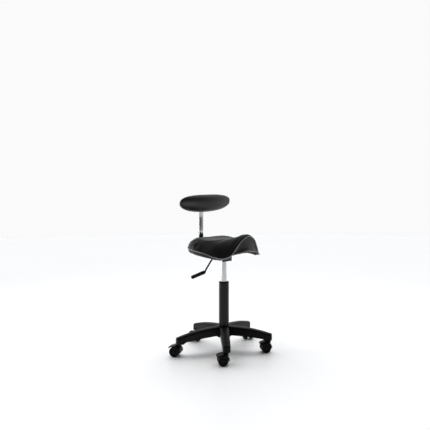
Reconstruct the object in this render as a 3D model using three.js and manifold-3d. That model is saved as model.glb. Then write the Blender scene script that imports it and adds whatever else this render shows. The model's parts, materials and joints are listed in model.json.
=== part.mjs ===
// Dentist saddle stool: five-leg caster base, gas column, saddle seat and back pad.
// Millimetres, +Z up. The origin is on the floor, in the middle of the stool's footprint.
// The sitter faces -Y, so the sitter's right hand, with the release lever, is on -X.
import * as THREE from 'three';
import { mergeVertices } from 'three/addons/utils/BufferGeometryUtils.js';
import Module from 'manifold-3d';

const wasm = await Module();
wasm.setup();

// ---------------------------------------------------------------- driving dimensions

const GAP = 0.3; // clearance between pieces that touch or run in each other
const RAD = Math.PI / 180;

// The column's axis stands beside the origin, because five legs are never evenly spread
// over a footprint's length and width. All other X and Y places are counted from this axis.
const COLUMN_AXIS = [-1.5, -11];
const BASE = {
  legs: 5,
  firstLegAngle: 225.2, // degrees from +X; this leg lies under the sitter's right knee
  tipRadius: 242,
  stemRadius: 228,
  rootHalfWidth: 23.5,
  tipHalfWidth: 17.5,
  tipCorner: 8,
  hubTop: 120,
  hubRadius: 37,
  hubBottom: 66,
  tipTop: 88,
  tipBottom: 58,
  wall: 4,
};
const CASTER = {
  wheelRadius: 24,
  wheelWidth: 17,
  wheelInner: 9, // from the mid plane to a wheel's inner face
  trail: 18,
  facets: 20,
  hoodInner: 26,
  hoodOuter: 29.8,
  hoodHalfWidth: 27.5,
  webHalfWidth: 7.5,
  bossRadius: 8.5,
  axleRadius: 3,
  stemRadius: 5.5,
  top: 56.5,
  // trailing direction of each caster, in degrees from +X, starting at the first leg
  headings: [141, 142, 241, 196, 116],
};
const COLUMN = { radius: 25, wall: 1.6, bottom: 62, taperTop: 118, top: 335, floor: 3 };
const CYLINDER = { radius: 14, wall: 2, bottom: 175, taperStart: 446, top: 464 };
const MECHANISM = {
  lip: 440.5, // lower edge of the front lip
  bottom: 446,
  top: 477.4,
  halfWidth: 33,
  front: -23.5,
  back: 42,
  wall: 3,
};
const PLATE = { bottom: 477.7, thickness: 3.5, halfWidth: 72, front: -62, back: 84 };
const LEVER = {
  pivotX: -26,
  rodZ: 472.8,
  rodRadius: 4,
  gripRadius: 8.5,
  gripLength: 84,
  gripStart: [-138, 401],
  gripEnd: [-222, 386],
};
const SEAT = {
  halfWidth: 176, // widest half-width of the saddle
  rearDepth: 133, // from the widest line to the rear edge
  rearFullness: 0.84, // below 1 the rear outline is squarer than an ellipse
  widestY: 18,
  flapX: 101, // front corner of each flap
  flapY: -142,
  noseY: -164.3, // front edge on the centre line
  boardTop: 489.8,
  boardThickness: 8,
  boardRim: 2.5, // the board's thickness at its pressed-down rim
  boardScale: 0.88,
};
const BACK = {
  barY: 158.7,
  barWidth: 24,
  barThickness: 8,
  barTop: 630,
  tubeWidth: 27.4,
  tubeThickness: 11.2,
  tubeBottom: 568,
  bendZ: 658,
  lean: 3, // degrees forward above the bend
  hingeZ: 712,
};
// The pad in its own frame: its hinge pin is at 0, and it leans with the pin as its foot.
const PAD = {
  lean: 8,
  halfWidth: 182,
  roll: 2.2, // its -X end hangs lower
  middleZ: 26,
  up: 39.5,
  down: 47.5,
  edgeY: -29.5,
  frontY: -66.5,
  endFrontY: -46,
  backY: -17,
  boardThickness: 6.5,
};

// ---------------------------------------------------------------- materials

const finish = (color, roughness, metalness = 0) =>
  new THREE.MeshStandardMaterial({ color, roughness, metalness });
const NYLON = finish(0x17181a, 0.55);
const POWDER_COAT = finish(0x121315, 0.4, 0.2);
const CHROME = finish(0xd6d8dc, 0.12, 1);
const ZINC = finish(0x9a9ca0, 0.35, 1);
const LEATHER = finish(0x141416, 0.42);
const BOARD = finish(0x0f0f10, 0.7);
const RUBBER = finish(0x101010, 0.85);
const CASTER_PLASTIC = finish(0x141517, 0.4);
const WHEEL_PLASTIC = finish(0x1b1c1f, 0.5);
const ACETAL = finish(0x1a1b1d, 0.45);
const GRIP_PLASTIC = finish(0x191a1c, 0.5);

// ---------------------------------------------------------------- solids

// A welded copy of a geometry with positions only, its faces pointing out.
function weld(geometry) {
  const bare = geometry.clone();
  bare.deleteAttribute('normal');
  bare.deleteAttribute('uv');
  const welded = mergeVertices(bare, 1e-3);
  const point = welded.getAttribute('position');
  const corner = (i) => new THREE.Vector3().fromBufferAttribute(point, i);
  const kept = [];
  let volume = 0;
  for (let i = 0; i < welded.index.count; i += 3) {
    const [a, b, c] = [0, 1, 2].map((k) => welded.index.getX(i + k));
    if (a === b || b === c || c === a) continue;
    kept.push([a, b, c]);
    volume += corner(a).dot(corner(b).cross(corner(c)));
  }
  const faces = volume < 0 ? kept.map(([a, b, c]) => [a, c, b]) : kept;
  welded.setIndex(faces.flat());
  return welded;
}

function toSolid(geometry) {
  const welded = weld(geometry);
  return new wasm.Manifold(new wasm.Mesh({
    numProp: 3,
    vertProperties: new Float32Array(welded.getAttribute('position').array),
    triVerts: new Uint32Array(welded.index.array),
  }));
}

function toGeometry(solid) {
  const mesh = solid.getMesh();
  const geometry = new THREE.BufferGeometry();
  geometry.setAttribute('position', new THREE.BufferAttribute(mesh.vertProperties, 3));
  geometry.setIndex(new THREE.BufferAttribute(mesh.triVerts, 1));
  return geometry;
}

const join = (...parts) => toGeometry(parts.map(toSolid).reduce((a, b) => a.add(b)));
const cut = (body, ...tools) =>
  toGeometry(tools.map(toSolid).reduce((a, b) => a.subtract(b), toSolid(body)));
const common = (a, b) => toGeometry(toSolid(a).intersect(toSolid(b)));

// A solid of revolution about Z from [radius, height] points.
function turned(points, facets = 24) {
  const profile = points.map(([r, z]) => new THREE.Vector2(r, z));
  return weld(new THREE.LatheGeometry(profile, facets).rotateX(90 * RAD));
}

const ring = (inner, outer, low, high, facets = 24) =>
  turned([[inner, low], [outer, low], [outer, high], [inner, high], [inner, low]], facets);
const rod = (radius, low, high, facets = 16) =>
  turned([[0, low], [radius, low], [radius, high], [0, high]], facets);
const block = (x0, x1, y0, y1, z0, z1) =>
  weld(new THREE.BoxGeometry(x1 - x0, y1 - y0, z1 - z0)
    .translate((x0 + x1) / 2, (y0 + y1) / 2, (z0 + z1) / 2));

// An outline in X and Y, extruded from one height to another.
const standing = (shape, low, high, curveSegments = 8) =>
  weld(new THREE.ExtrudeGeometry(shape, { depth: high - low, bevelEnabled: false, curveSegments })
    .translate(0, 0, low));

// An outline drawn in [x, z], extruded along Y from one place to another.
const across = (shape, from, to, curveSegments = 8) =>
  weld(new THREE.ExtrudeGeometry(shape, { depth: to - from, bevelEnabled: false, curveSegments })
    .rotateX(90 * RAD)
    .translate(0, to, 0));

// An outline drawn in [y, z], extruded along X, the same distance to each side.
const sideways = (shape, halfWidth, curveSegments = 8) =>
  across(shape, -halfWidth, halfWidth, curveSegments).rotateZ(90 * RAD);

function outline(points) {
  return new THREE.Shape(points.map(([x, y]) => new THREE.Vector2(x, y)));
}

function ellipse(halfWidth, halfHeight) {
  return new THREE.Shape().absellipse(0, 0, halfWidth, halfHeight, 0, 2 * Math.PI);
}

// A bar section with full round ends.
function stadium(width, thickness) {
  const radius = thickness / 2;
  const reach = width / 2 - radius;
  const shape = new THREE.Shape();
  shape.absarc(reach, 0, radius, -90 * RAD, 90 * RAD);
  shape.absarc(-reach, 0, radius, 90 * RAD, 270 * RAD);
  return shape;
}

// A smooth function of one number through [at, value] stops.
function through(stops) {
  const slope = (i) => {
    const [a, b] = [stops[Math.max(i - 1, 0)], stops[Math.min(i + 1, stops.length - 1)]];
    return (b[1] - a[1]) / (b[0] - a[0]);
  };
  return (at) => {
    const clamped = Math.min(Math.max(at, stops[0][0]), stops.at(-1)[0]);
    const i = Math.min(stops.findLastIndex((s) => s[0] <= clamped), stops.length - 2);
    const [[x0, y0], [x1, y1]] = [stops[i], stops[i + 1]];
    const t = (clamped - x0) / (x1 - x0);
    const h = x1 - x0;
    return (2 * t ** 3 - 3 * t ** 2 + 1) * y0 + (t ** 3 - 2 * t ** 2 + t) * h * slope(i)
      + (3 * t ** 2 - 2 * t ** 3) * y1 + (t ** 3 - t ** 2) * h * slope(i + 1);
  };
}

// A closed skin over two stacks of rings that share their outer ring: each entry of the
// list is a ring of points, from the middle of one face, over the edge, to the middle of
// the other face. The first and last entries are single points.
function skin(rings) {
  const count = rings[1].length;
  const points = rings.flat();
  const starts = [0];
  rings.forEach((entry, k) => starts.push(starts[k] + entry.length));
  const edge = (k, i, j) =>
    (rings[k].length === 1 ? [starts[k], starts[k]] : [starts[k] + i, starts[k] + j]);
  const faces = [];
  for (let k = 0; k < rings.length - 1; k += 1) {
    for (let i = 0; i < count; i += 1) {
      const j = (i + 1) % count;
      const upper = edge(k, i, j);
      const lower = edge(k + 1, i, j);
      if (upper[0] !== upper[1]) faces.push([upper[0], lower[0], upper[1]]);
      if (lower[0] !== lower[1]) faces.push([upper[1], lower[0], lower[1]]);
    }
  }
  const geometry = new THREE.BufferGeometry();
  geometry.setAttribute('position', new THREE.Float32BufferAttribute(points.flat(), 3));
  geometry.setIndex(faces.flat());
  return weld(geometry);
}

// ---------------------------------------------------------------- the assembly

const group = new THREE.Group();
const stool = new THREE.Group();
stool.position.set(...COLUMN_AXIS, 0);
group.add(stool);

function piece(name, geometry, material, parent = stool) {
  const mesh = new THREE.Mesh(geometry, material);
  mesh.name = name;
  parent.add(mesh);
  return mesh;
}

// ---------------------------------------------------------------- five-leg base

// The leg's side outline: a humped top, an upright tip and a shallow arched underside.
function legSide() {
  const shape = new THREE.Shape();
  shape.moveTo(0, BASE.hubTop);
  shape.quadraticCurveTo(BASE.tipRadius * 0.54, BASE.hubTop, BASE.tipRadius - 6, BASE.tipTop);
  shape.quadraticCurveTo(BASE.tipRadius, BASE.tipTop - 2, BASE.tipRadius, BASE.tipTop - 9);
  shape.lineTo(BASE.tipRadius, BASE.tipBottom);
  shape.lineTo(BASE.stemRadius - 18, BASE.tipBottom);
  shape.lineTo(BASE.stemRadius - 25, BASE.tipBottom + 4);
  shape.quadraticCurveTo(110, 75, 0, 76);
  return shape;
}

function legPlan() {
  const { tipRadius: tip, tipHalfWidth: half, tipCorner: corner, rootHalfWidth: root } = BASE;
  const shape = new THREE.Shape();
  shape.moveTo(0, -root);
  shape.lineTo(tip - corner, -half);
  shape.quadraticCurveTo(tip, -half, tip, -half + corner);
  shape.lineTo(tip, half - corner);
  shape.quadraticCurveTo(tip, half, tip - corner, half);
  shape.lineTo(0, root);
  return shape;
}

// The hollow under a leg, left open below and crossed by two stiffening ribs.
function legPocket() {
  const start = 44;
  const end = BASE.stemRadius - 24;
  const side = new THREE.Shape();
  side.moveTo(start, 40);
  side.lineTo(start, 114.5);
  side.quadraticCurveTo(125, 113, end, 94);
  side.lineTo(end, 40);
  const { rootHalfWidth, tipHalfWidth, tipRadius, wall } = BASE;
  const inner = (r) => THREE.MathUtils.lerp(rootHalfWidth, tipHalfWidth, r / tipRadius) - wall;
  const [wide, narrow] = [inner(start), inner(end)];
  const plan = outline([[start, -wide], [end, -narrow], [end, narrow], [start, wide]]);
  const hollow = common(across(side, -30, 30, 4), standing(plan, 30, 130));
  const ribs = [95, 146].map((r) => block(r - 2, r + 2, -30, 30, 80, 130));
  return cut(hollow, ...ribs);
}

function starBase() {
  const solid = common(across(legSide(), -30, 30, 5), standing(legPlan(), 50, 130, 3));
  const socket = rod(CASTER.stemRadius + GAP, 50, 83, 12).translate(BASE.stemRadius, 0, 0);
  const leg = cut(solid, legPocket(), socket);
  const turn = (k) => (BASE.firstLegAngle + (k * 360) / BASE.legs) * RAD;
  const legs = Array.from({ length: BASE.legs }, (_, k) => leg.clone().rotateZ(turn(k)));
  const { hubRadius, hubTop, hubBottom } = BASE;
  const hub = turned([
    [0, hubBottom], [hubRadius - 2, hubBottom], [hubRadius, hubBottom + 2],
    [hubRadius, hubTop - 4], [hubRadius - 4, hubTop + 1.5], [0, hubTop + 1.5],
  ], 24);
  const bore = rod(COLUMN.radius + 3, 40, 140, 24);
  return cut(join(hub, ...legs), bore);
}

piece('star_base', starBase(), NYLON);

// ---------------------------------------------------------------- column

const taperFoot = COLUMN.radius - 0.8; // the column's cone is this thick at its foot
const columnBore = COLUMN.radius - COLUMN.wall;

piece('hub_sleeve', turned([
  [taperFoot + GAP, 66], [COLUMN.radius + 2.7, 66], [COLUMN.radius + 2.7, COLUMN.taperTop],
  [COLUMN.radius + GAP, COLUMN.taperTop], [taperFoot + GAP, 66],
], 24), ZINC);
piece('column_tube', turned([
  [6.5, COLUMN.bottom], [taperFoot, COLUMN.bottom], [COLUMN.radius, COLUMN.taperTop],
  [COLUMN.radius, COLUMN.top - 1], [COLUMN.radius - 0.6, COLUMN.top], [columnBore, COLUMN.top],
  [columnBore, COLUMN.bottom + COLUMN.floor], [6.5, COLUMN.bottom + COLUMN.floor], [6.5, COLUMN.bottom],
], 24), POWDER_COAT);
piece('guide_bush', turned([
  [CYLINDER.radius + GAP, 258], [columnBore - GAP, 258], [columnBore - GAP, COLUMN.top + GAP],
  [COLUMN.radius + 0.5, COLUMN.top + GAP], [COLUMN.radius + 0.2, COLUMN.top + 3],
  [CYLINDER.radius + 2, COLUMN.top + 3.5], [CYLINDER.radius + GAP, COLUMN.top + 2.5],
  [CYLINDER.radius + GAP, 258],
], 24), ACETAL);

// The thrust stack that the piston rod stands on, above the column's floor.
const stack = COLUMN.bottom + COLUMN.floor + GAP;
piece('thrust_bearing', ring(6.5, 14, stack, stack + 5), ZINC);
piece('thrust_washer', ring(5 + GAP, 15, stack + 5.3, stack + 7.3), ZINC);
piece('rubber_buffer', ring(5 + GAP, 14, stack + 7.6, stack + 22), RUBBER);
piece('piston_rod', turned([
  [0, 54], [4, 54], [5, 55], [5, 58], [4, 58], [4, 60.4], [5, 60.4], [5, 275], [0, 275],
], 12), CHROME);
piece('rod_clip', ring(4 + GAP, 9, 58.4, 60, 16), ZINC);
piece('piston', ring(5 + GAP, CYLINDER.radius - CYLINDER.wall - GAP, 262, 274, 20), ZINC);

const cylinderBore = CYLINDER.radius - CYLINDER.wall;
piece('gas_cylinder', turned([
  [cylinderBore, CYLINDER.bottom], [CYLINDER.radius - 1, CYLINDER.bottom],
  [CYLINDER.radius, CYLINDER.bottom + 2], [CYLINDER.radius, CYLINDER.taperStart],
  [CYLINDER.radius - 0.7, CYLINDER.top], [4 + GAP, CYLINDER.top], [4 + GAP, 430],
  [cylinderBore, 430], [cylinderBore, CYLINDER.bottom],
], 24), CHROME);
piece('rod_guide', ring(5 + GAP, cylinderBore - GAP, CYLINDER.bottom + 3, CYLINDER.bottom + 20, 20), ACETAL);
const pinTop = LEVER.rodZ - LEVER.rodRadius - 0.6;
piece('release_pin', turned([
  [0, 434], [4, 434], [4, pinTop - 1], [3, pinTop], [0, pinTop],
], 16), ZINC);

// ---------------------------------------------------------------- casters

// A caster's own frame has the stem on Z and the wheels trailing towards +X.
function hoodSide() {
  const { trail, wheelRadius: axle, hoodInner, hoodOuter } = CASTER;
  const beak = 32 * RAD;
  const shape = new THREE.Shape();
  shape.moveTo(trail - hoodOuter, axle - 2);
  shape.absarc(trail, axle, hoodOuter, 180 * RAD, 62 * RAD, true);
  shape.lineTo(trail + 29, axle + 18);
  shape.lineTo(trail + hoodInner * Math.cos(beak), axle + hoodInner * Math.sin(beak));
  shape.absarc(trail, axle, hoodInner, beak, 180 * RAD, false);
  shape.lineTo(trail - hoodInner, axle - 2);
  return shape;
}

function webSide() {
  const { trail, wheelRadius: axle } = CASTER;
  const shape = outline([[-6, 34], [-6, 48], [5, 50], [trail, 52.5], [trail + 15, 47], [trail + 8, axle]]);
  shape.absarc(trail, axle, 8, 0, 180 * RAD, true);
  return shape;
}

function casterHousing() {
  const { trail, hoodHalfWidth: half, webHalfWidth: web, stemRadius, wheelRadius: axle } = CASTER;
  const hood = across(hoodSide(), -half, half, 5);
  const body = across(webSide(), -web, web, 4);
  const boss = rod(CASTER.bossRadius, 28, CASTER.top, 14);
  const stemHole = rod(stemRadius + GAP, 32, 70, 12);
  const axleHole = rod(CASTER.axleRadius + GAP, -40, 40, 8).rotateX(90 * RAD).translate(trail, 0, axle);
  return cut(join(hood, body, boss), stemHole, axleHole);
}

// One wheel about Z, its inner face at 0: a flat tread, a dished outer face, a blind bore.
function casterWheel() {
  const tread = CASTER.wheelRadius / Math.cos(Math.PI / CASTER.facets);
  const width = CASTER.wheelWidth;
  return turned([
    [0, width - 2.5], [17, width - 2.5], [19, width], [22, width], [tread, width - 3],
    [tread, 2], [tread - 1.5, 0],
    [CASTER.axleRadius + GAP, 0], [CASTER.axleRadius + GAP, width - 3.2], [0, width - 3.2],
  ], CASTER.facets).rotateZ(Math.PI / CASTER.facets);
}

const stemShape = turned([
  [0, 33], [4.5, 33], [5.5, 34.5], [5.5, 79.5], [4.5, 81], [0, 81],
], 12);
const housingShape = casterHousing();
const wheelShape = casterWheel();
const axleShape = rod(CASTER.axleRadius, -21.5, 21.5, 8).rotateX(90 * RAD);

CASTER.headings.forEach((heading, k) => {
  const legAngle = (BASE.firstLegAngle + (k * 360) / BASE.legs) * RAD;
  const caster = new THREE.Group();
  caster.position.set(BASE.stemRadius * Math.cos(legAngle), BASE.stemRadius * Math.sin(legAngle), 0);
  caster.rotation.z = heading * RAD;
  stool.add(caster);

  const name = `caster_${k + 1}`;
  piece(`${name}_stem`, stemShape, ZINC, caster);
  piece(`${name}_housing`, housingShape, CASTER_PLASTIC, caster);
  piece(`${name}_axle`, axleShape, ZINC, caster).position.set(CASTER.trail, 0, CASTER.wheelRadius);
  for (const [side, sign] of [['left', 1], ['right', -1]]) {
    const wheel = piece(`${name}_wheel_${side}`, wheelShape, WHEEL_PLASTIC, caster);
    wheel.position.set(CASTER.trail, sign * CASTER.wheelInner, CASTER.wheelRadius);
    wheel.rotation.x = -sign * 90 * RAD;
  }
});

// ---------------------------------------------------------------- release mechanism

function mechanismHousing() {
  const { lip, bottom, top, halfWidth: half, front, back, wall } = MECHANISM;
  const box = block(-half, half, front, back, bottom, top);
  const inside = block(-half + wall, half - wall, front + wall, back - wall, bottom + 4, top + 5);
  const frontLip = block(-half, half, front, front + wall, lip, top);
  const boss = rod(21, bottom + 2, CYLINDER.top, 20);
  const rib = block(-half + 1, -20, 9, 12, bottom + 2, top);
  const socket = turned([
    [0, bottom - 5], [CYLINDER.radius + GAP, bottom - 5], [CYLINDER.radius + GAP, CYLINDER.taperStart],
    [CYLINDER.radius - 0.7 + GAP, CYLINDER.top], [CYLINDER.radius - 0.7 + GAP, CYLINDER.top + 4],
    [0, CYLINDER.top + 4],
  ], 20);
  const leverSlot = block(-half - 5, -half + wall + 1, -5.5, 5.5, 457, top + 5);
  const pinHole = rod(2.5 + GAP, -20, 50, 12).rotateX(90 * RAD).translate(LEVER.pivotX, 0, LEVER.rodZ);
  return cut(join(cut(box, inside), frontLip, boss, rib), socket, leverSlot, pinHole);
}

function mountingPlate() {
  const { bottom, thickness, halfWidth: half, front, back } = PLATE;
  const plate = block(-half, half, front, back, bottom, bottom + thickness);
  const holes = seatBoltPlaces.map(([x, y]) => rod(3 + GAP, 460, 500, 12).translate(x, y, 0));
  const armHoles = armBoltPlaces.map((y) => rod(2.5 + GAP, 460, 500, 12).translate(0, y, 0));
  return cut(plate, ...holes, ...armHoles);
}

// A hexagon-head bolt standing on its head, with its shank towards +Z.
const bolt = (shankRadius, headRadius, headBottom, headHeight, tip) =>
  join(rod(headRadius, headBottom, headBottom + headHeight, 6), rod(shankRadius, headBottom + 1, tip, 12));

const seatBoltPlaces = [[-62, -52], [62, -52], [62, 74], [-62, 74]];
const armBoltPlaces = [56, 72];

piece('mechanism_housing', mechanismHousing(), POWDER_COAT);
piece('mounting_plate', mountingPlate(), POWDER_COAT);
seatBoltPlaces.forEach(([x, y], k) => {
  const shape = bolt(3, 5.5, PLATE.bottom - GAP - 4, 4, 488.5).translate(x, y, 0);
  piece(`seat_bolt_${k + 1}`, shape, ZINC);
});
piece('lever_pin', rod(2.5, -23.5, 11.8, 12).rotateX(-90 * RAD).translate(LEVER.pivotX, 0, LEVER.rodZ), ZINC);

// Places along the grip's axis where the rod runs inside it.
const alongGrip = (share) => LEVER.gripStart.map((v, i) => v + share * (LEVER.gripEnd[i] - v));
const gripCore = [-0.04, 0.1, 0.5, 0.85].map(alongGrip);

// The bent rod: over the release pin, out of the housing, down and out to the grip.
function leverRod() {
  const places = [
    [2, LEVER.rodZ], [-24, LEVER.rodZ], [-50, LEVER.rodZ - 2.2], [-67, LEVER.rodZ - 6],
    [-85, 457], [-116, 425], [-129, 410.5], ...gripCore,
  ];
  const knots = places.map(([x, z]) => new THREE.Vector3(x, 0, z));
  const path = new THREE.CatmullRomCurve3(knots, false, 'centripetal');
  const section = ellipse(LEVER.rodRadius, LEVER.rodRadius);
  const bent = new THREE.ExtrudeGeometry(section, { extrudePath: path, steps: 26, curveSegments: 2 });
  const eye = rod(2.5 + GAP, -20, 20, 12).rotateX(90 * RAD).translate(LEVER.pivotX, 0, LEVER.rodZ);
  return cut(bent, eye);
}

// The ribbed grip about Z: a blind bore for the rod, rings of finger ribs, a domed end.
function leverGrip() {
  const { gripRadius: full, gripLength: length, rodRadius } = LEVER;
  const bore = rodRadius + 0.8;
  const points = [[0, length - 8], [bore, length - 8], [bore, 0], [full - 1.5, 0], [full, 3], [full, 9]];
  for (let k = 0; k < 4; k += 1) {
    const at = 14 + k * 15;
    points.push([full - 1.4, at], [full - 1.4, at + 5], [full, at + 7], [full, at + 13]);
  }
  points.push([full, length - 6], [full - 2.5, length - 1.5], [0, length]);
  return turned(points, 10);
}

function placeGrip(geometry) {
  const [x0, z0] = LEVER.gripStart;
  const [x1, z1] = LEVER.gripEnd;
  const along = new THREE.Vector3(x1 - x0, 0, z1 - z0).normalize();
  const turn = new THREE.Quaternion().setFromUnitVectors(new THREE.Vector3(0, 0, 1), along);
  return geometry.applyQuaternion(turn).translate(x0, 0, z0);
}

piece('lever_rod', leverRod(), POWDER_COAT);
piece('lever_grip', placeGrip(leverGrip()), GRIP_PLASTIC);

// ---------------------------------------------------------------- saddle seat

// Half of the seat's outline: 0 is the middle of the rear edge, 1 the middle of the nose.
const SIDE_START = 0.42;
const FRONT_START = 0.78;
function seatHalfOutline(t) {
  const { halfWidth, rearDepth, rearFullness: power, widestY, flapX, flapY, noseY } = SEAT;
  if (t < SIDE_START) {
    const a = (t / SIDE_START) * 90 * RAD;
    return [halfWidth * Math.sin(a) ** power, widestY + rearDepth * Math.cos(a) ** power];
  }
  if (t < FRONT_START) {
    const a = ((t - SIDE_START) / (FRONT_START - SIDE_START)) * 90 * RAD;
    return [halfWidth - (halfWidth - flapX) * (1 - Math.cos(a)), widestY - (widestY - flapY) * Math.sin(a)];
  }
  const x = (flapX * (1 - t)) / (1 - FRONT_START);
  return [x, noseY + (flapY - noseY) * (x / flapX) ** 2];
}

// Heights along that outline: the fullest line of the sides, and the cover's lower edge.
const fullZ = through([
  [0, 517], [0.21, 513], [0.36, 507], [0.45, 499], [0.51, 492], [0.6, 483], [0.67, 480],
  [0.73, 482], [0.78, 488], [0.815, 509], [0.852, 530], [0.883, 547], [0.93, 562], [0.975, 570.5], [1, 572.3],
]);
const hemZ = through([
  [0, 494], [0.21, 490], [0.36, 486], [0.45, 477], [0.51, 471], [0.6, 465.5], [0.67, 465],
  [0.73, 471.5], [0.78, 483.5], [0.86, 489.5], [0.93, 494], [1, 498],
]);
// The saddle's crown along the centre line, and its rise 100 mm to the side of it.
const crownZ = through([
  [-165, 585], [-150, 584.5], [-122, 579], [-94, 570], [-60, 560], [-20, 550], [20, 544], [60, 545],
  [90, 552], [120, 562], [150, 567],
]);
const sideRise = through([[-165, -110], [-100, -62], [-55, -31], [0, -6], [50, 4], [100, 9], [150, 8]]);

const SEAT_MIDDLE = [0, -10];
const HEM_SCALE = 0.965;

function seatPoint(t, s, height) {
  const side = t > 1 ? -1 : 1;
  const half = t > 1 ? 2 - t : t;
  const [ox, oy] = seatHalfOutline(half);
  const x = SEAT_MIDDLE[0] + s * (side * ox - SEAT_MIDDLE[0]);
  const y = SEAT_MIDDLE[1] + s * (oy - SEAT_MIDDLE[1]);
  return [x, y, height(half, s, x, y)];
}

function seatRing(s, height, count = 36) {
  if (s === 0) return [seatPoint(0, 0, height)];
  return Array.from({ length: count }, (_, k) => seatPoint((2 * k) / count, s, height));
}

const crownAt = (x, y) => crownZ(y) + sideRise(y) * (x / 100) ** 2;
const roll = (s) => 1 - Math.sqrt(Math.max(1 - s ** 6, 0));
const topHeight = (t, s, x, y) => THREE.MathUtils.lerp(crownAt(x, y), fullZ(t), roll(s));
const panHeight = (t, s) =>
  THREE.MathUtils.lerp(SEAT.boardTop, hemZ(t), THREE.MathUtils.smoothstep(s, 0.55, HEM_SCALE));

const cushionUnder = (t, s) => panHeight(t, s) + 0.6;
const rimShare = (s) => THREE.MathUtils.smoothstep(s, 0.6, SEAT.boardScale);
const boardUnder = (t, s) =>
  panHeight(t, s) - THREE.MathUtils.lerp(SEAT.boardThickness, SEAT.boardRim, rimShare(s));
const boardRings = [0, 0.55, 0.74, SEAT.boardScale];
const topRings = [1, 0.96, 0.9, 0.81, 0.68, 0.5, 0.3, 0];
piece('seat_cushion', skin([
  ...[...boardRings, HEM_SCALE].map((s) => seatRing(s, cushionUnder)),
  ...topRings.map((s) => seatRing(s, topHeight)),
]), LEATHER);
const boardBlank = skin([
  ...boardRings.map((s) => seatRing(s, panHeight)),
  ...boardRings.toReversed().map((s) => seatRing(s, boardUnder)),
]);
piece('seat_board', cut(
  boardBlank,
  ...seatBoltPlaces.map(([x, y]) => rod(3 + GAP, 470, 500, 12).translate(x, y, 0)),
  ...armBoltPlaces.map((y) => rod(4, 470, 486, 12).translate(0, y, 0)),
), BOARD);

// ---------------------------------------------------------------- backrest support

// The arm: a flat bar under the seat board that turns up behind the seat.
function backArm() {
  const { barY, barThickness: thick, barTop } = BACK;
  const top = PLATE.bottom - GAP;
  const bottom = top - thick;
  const outer = barY + thick / 2;
  const inner = barY - thick / 2;
  const bend = 14;
  const shape = new THREE.Shape();
  shape.moveTo(MECHANISM.back + 2, bottom);
  shape.lineTo(outer - bend - thick, bottom);
  shape.absarc(outer - bend - thick, bottom + bend + thick, bend + thick, -90 * RAD, 0);
  shape.lineTo(outer, barTop);
  shape.lineTo(inner, barTop);
  shape.lineTo(inner, top + bend);
  shape.absarc(inner - bend, top + bend, bend, 0, -90 * RAD, true);
  shape.lineTo(MECHANISM.back + 2, top);
  const bar = sideways(shape, BACK.barWidth / 2);
  return cut(bar, ...armBoltPlaces.map((y) => rod(2.5 + GAP, 460, 486, 12).translate(0, y, 0)));
}

// The sliding tube: it sleeves the bar below and leans towards the sitter above its bend.
function backTube() {
  const { barY, tubeWidth, tubeThickness, tubeBottom, bendZ, hingeZ, lean } = BACK;
  const section = stadium(tubeWidth, tubeThickness);
  const straight = standing(section, tubeBottom, bendZ + 0.5, 5).translate(0, barY, 0);
  const leaning = standing(section, 0, (hingeZ - bendZ) / Math.cos(lean * RAD) + 6, 5)
    .rotateX(lean * RAD)
    .translate(0, barY, bendZ);
  const round = tubeThickness / 2 - 0.1;
  const knuckle = sideways(ellipse(round, round), tubeWidth / 2 - 3, 5).translate(0, barY, bendZ);
  const bore = block(
    -BACK.barWidth / 2 - GAP, BACK.barWidth / 2 + GAP,
    barY - BACK.barThickness / 2 - GAP, barY + BACK.barThickness / 2 + GAP,
    tubeBottom - 5, bendZ - 6,
  );
  const hingeHole = rod(3 + GAP, -40, 40, 12).rotateY(90 * RAD).translate(0, hingeY, hingeZ);
  const screwHole = rod(2.5 + GAP, 0, 12, 12).rotateX(-90 * RAD).translate(0, barY, clampZ);
  return cut(join(straight, leaning, knuckle), bore, hingeHole, screwHole);
}

const hingeY = BACK.barY - (BACK.hingeZ - BACK.bendZ) * Math.tan(BACK.lean * RAD);
const clampZ = BACK.tubeBottom + 12;

piece('back_arm', backArm(), POWDER_COAT);
armBoltPlaces.forEach((y, k) => {
  const head = PLATE.bottom - GAP - BACK.barThickness - GAP - 3.5;
  piece(`arm_bolt_${k + 1}`, bolt(2.5, 4.5, head, 3.5, 484).translate(0, y, 0), ZINC);
});
piece('back_tube', backTube(), CHROME);

// A low clamp screw in the rear of the tube, its tip just off the bar.
const screwTip = BACK.barY + BACK.barThickness / 2 + GAP;
const screwHead = BACK.barY + BACK.tubeThickness / 2 + GAP;
piece('clamp_screw', turned([
  [0, screwTip], [2.5, screwTip], [2.5, screwHead], [8, screwHead], [9, screwHead + 1],
  [9, screwHead + 5], [8, screwHead + 6], [0, screwHead + 6],
], 16).rotateX(-90 * RAD).translate(0, 0, clampZ), ACETAL);
piece('hinge_pin', rod(3, -21, 21, 12).rotateY(90 * RAD).translate(0, hingeY, BACK.hingeZ), ZINC);

// ---------------------------------------------------------------- back pad

// The pad's outline in X and Z, flatter along the top than along the bottom.
function padOutline(t) {
  const a = 2 * Math.PI * t;
  const upper = Math.sin(a) > 0;
  const power = upper ? 2 / 2.8 : 2 / 2.15;
  const x = Math.sign(Math.cos(a)) * Math.abs(Math.cos(a)) ** power;
  const z = Math.sign(Math.sin(a)) * Math.abs(Math.sin(a)) ** power;
  return [PAD.halfWidth * x, z * (upper ? PAD.up : PAD.down)];
}

const padFace = (x) => THREE.MathUtils.lerp(PAD.frontY, PAD.endFrontY, (x / PAD.halfWidth) ** 2);
const padFront = (x, s) => PAD.edgeY - (PAD.edgeY - padFace(x)) * Math.sqrt(1 - s ** 3);
const padRear = (x, s) => PAD.edgeY + (PAD.backY - PAD.edgeY) * Math.sqrt(1 - s ** 8);

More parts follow.
